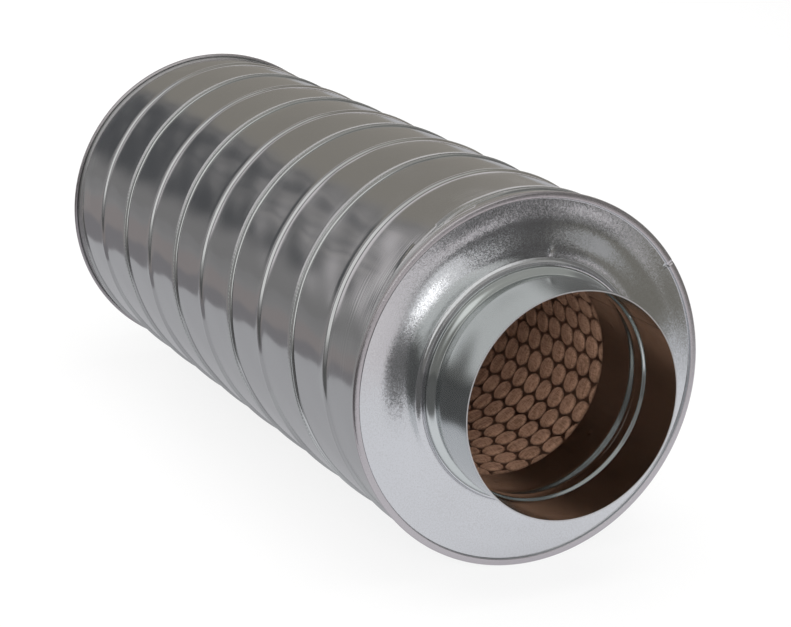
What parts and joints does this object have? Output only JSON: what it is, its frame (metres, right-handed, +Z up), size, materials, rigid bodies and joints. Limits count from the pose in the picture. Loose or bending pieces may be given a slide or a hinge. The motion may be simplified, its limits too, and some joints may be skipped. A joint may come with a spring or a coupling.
{
  "type": "duct sound attenuator",
  "caption": "Round duct sound attenuator: spiral-seam steel casing with flanged end caps, a push-in spigot at each end and a perforated liner over fleece and mineral wool.",
  "frame": {"origin": "middle of the body on the duct axis", "axes": "+X along the duct axis towards the front spigot, +Z up as the part lies in the picture"},
  "size_m": [0.72, 0.2664, 0.2664],
  "materials": {
    "casing_steel": "bright galvanised spiral strip",
    "cap_steel": "fine-spangled satin galvanised sheet",
    "spigot_steel": "smooth galvanised sheet",
    "liner_steel": "perforated galvanised sheet",
    "brown_fleece": "matt felted fleece",
    "mineral_wool": "loose fibre mat"
  },
  "bodies": {
    "root": {"outer_casing": "casing_steel", "front_end_cap": "cap_steel", "rear_end_cap": "cap_steel", "front_spigot": "spigot_steel", "rear_spigot": "spigot_steel", "perforated_liner": "liner_steel", "fleece_wrap": "brown_fleece", "mineral_wool_packing": "mineral_wool"}
  },
  "joints": []
}
